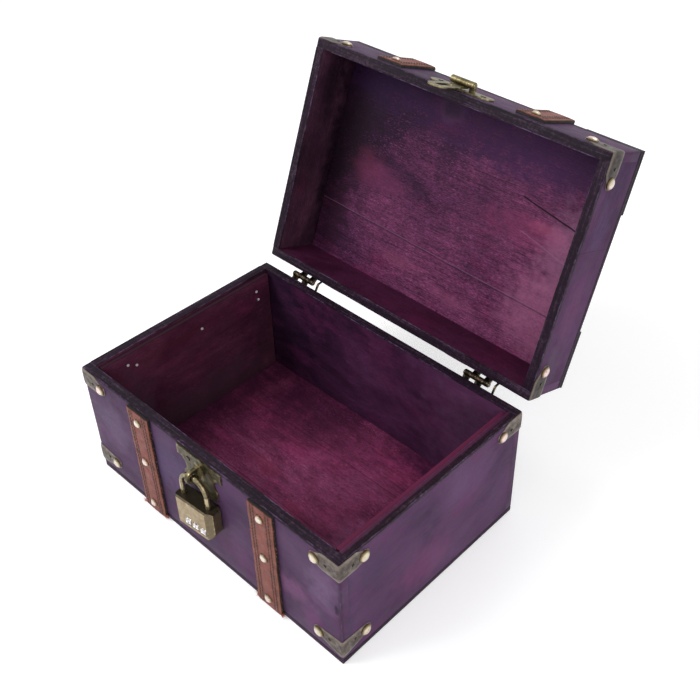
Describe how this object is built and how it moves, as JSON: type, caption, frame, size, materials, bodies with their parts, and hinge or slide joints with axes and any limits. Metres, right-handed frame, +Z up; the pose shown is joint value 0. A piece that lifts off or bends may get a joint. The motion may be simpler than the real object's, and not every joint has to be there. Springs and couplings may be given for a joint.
{
  "type": "keepsake box",
  "caption": "Painted wooden keepsake box with a hinged lid, leather straps, bronze corner brackets, a hasp and a hanging combination padlock.",
  "frame": {"origin": "middle of the box's underside", "axes": "+Z up, +X to the right along the front seen from in front, +Y from the front with the hasp towards the hinges; rest pose has the lid standing open at 111 degrees"},
  "size_m": [0.2254, 0.2588, 0.2407],
  "materials": {
    "body_wood": "hand-painted muted violet with darker patches, matt to satin",
    "floor_wood": "burgundy violet paint over visible grain, satin",
    "liner_wood": "dark red paint over visible grain, satin",
    "lid_wood": "hand-painted violet, matt to satin",
    "lid_board_wood": "violet and magenta paint in broad strokes, satin",
    "strap_leather": "brown leather with stitched, blackened edges",
    "patch_leather": "near-black leather",
    "dome_nail_brass": "pale antique brass",
    "pin_steel": "darkened steel",
    "brad_steel": "bare steel, a little tarnished",
    "bracket_bronze": "antique bronze, worn brighter on the edges",
    "nail_bronze": "antique bronze",
    "hinge_bronze": "dark antique bronze",
    "staple_bronze": "antique bronze",
    "hasp_bronze": "antique bronze, worn brighter on the edges",
    "shackle_bronze": "antique bronze",
    "lock_bronze": "antique bronze with pale wear",
    "lock_back_bronze": "antique bronze",
    "lock_pin_steel": "plain steel",
    "spacer_brass": "plain brass",
    "dial_silver": "light silver with dark painted numbers"
  },
  "bodies": {
    "box": {"bottom_board": "floor_wood", "front_panel": "body_wood", "back_panel": "body_wood", "left_panel": "body_wood", "right_panel": "body_wood", "left_liner": "liner_wood", "right_liner": "liner_wood", "front_strap_left": "strap_leather", "front_strap_right": "strap_leather", "bracket_front_left": "bracket_bronze", "bracket_front_right": "bracket_bronze", "bracket_back_left": "bracket_bronze", "bracket_back_right": "bracket_bronze", "base_bracket_left": "bracket_bronze", "base_bracket_right": "bracket_bronze", "staple_plate": "staple_bronze", "hinge_leaf_left": "hinge_bronze", "hinge_leaf_right": "hinge_bronze", "hinge_pin_left": "hinge_bronze", "hinge_pin_right": "hinge_bronze", "body_dome_nails": "dome_nail_brass", "body_bracket_pins": "pin_steel", "liner_brads": "brad_steel", "staple_nails": "nail_bronze", "hinge_nails": "nail_bronze"},
    "lid": {"lid_front_panel": "lid_wood", "lid_back_panel": "lid_wood", "lid_left_panel": "lid_wood", "lid_right_panel": "lid_wood", "lid_top_board": "lid_board_wood", "lid_bracket_front_left": "bracket_bronze", "lid_bracket_front_right": "bracket_bronze", "lid_bracket_back_left": "bracket_bronze", "lid_bracket_back_right": "bracket_bronze", "lid_patch_front_left": "patch_leather", "lid_patch_front_right": "patch_leather", "lid_patch_back_left": "patch_leather", "lid_patch_back_right": "patch_leather", "lid_strap_left": "strap_leather", "lid_strap_right": "strap_leather", "lid_hinge_leaf_left": "hinge_bronze", "lid_hinge_leaf_right": "hinge_bronze", "hasp_bar": "hasp_bronze", "hasp_pin": "hasp_bronze", "lid_dome_nails": "dome_nail_brass", "lid_bracket_pins": "pin_steel", "hasp_nails": "nail_bronze", "lid_hinge_nails": "nail_bronze"},
    "hasp": {"hasp_leaf": "hasp_bronze"},
    "shackle": {"shackle": "shackle_bronze"},
    "lock": {"padlock_case": "lock_bronze", "padlock_back_plate": "lock_back_bronze", "padlock_rivets": "lock_pin_steel", "shackle_stop_pin": "lock_pin_steel", "dial_spindle": "lock_pin_steel", "dial_spacers": "spacer_brass"},
    "dial_left": {"dial_left": "dial_silver"},
    "dial_middle": {"dial_middle": "dial_silver"},
    "dial_right": {"dial_right": "dial_silver"}
  },
  "joints": [
    {"name": "lid_hinge", "type": "hinge", "parent": "box", "child": "lid", "pos_m": [0, 0.0789, 0.0866], "axis": [1, 0, 0], "range_deg": [0, 111]},
    {"name": "hasp_hinge", "type": "hinge", "parent": "lid", "child": "hasp", "pos_m": [0.0012, 0.1438, 0.23168], "axis": [-1, 0, 0], "range_deg": [0, 150]},
    {"name": "padlock_swing", "type": "hinge", "parent": "box", "child": "shackle", "pos_m": [0.0012, -0.0812, 0.07435], "axis": [-1, 0, 0], "range_deg": [0, 80]},
    {"name": "shackle_slide", "type": "slide", "parent": "shackle", "child": "lock", "axis": [0, 0, -1], "range_m": [0, 0.0065]},
    {"name": "dial_left_spin", "type": "hinge", "parent": "lock", "child": "dial_left", "pos_m": [-0.00189, -0.08292, 0.03925], "axis": [0.9976, 0.0698, 0], "continuous": true},
    {"name": "dial_middle_spin", "type": "hinge", "parent": "lock", "child": "dial_middle", "pos_m": [0.0043, -0.08249, 0.03925], "axis": [0.9976, 0.0698, 0], "continuous": true},
    {"name": "dial_right_spin", "type": "hinge", "parent": "lock", "child": "dial_right", "pos_m": [0.01048, -0.08205, 0.03925], "axis": [0.9976, 0.0698, 0], "continuous": true}
  ]
}
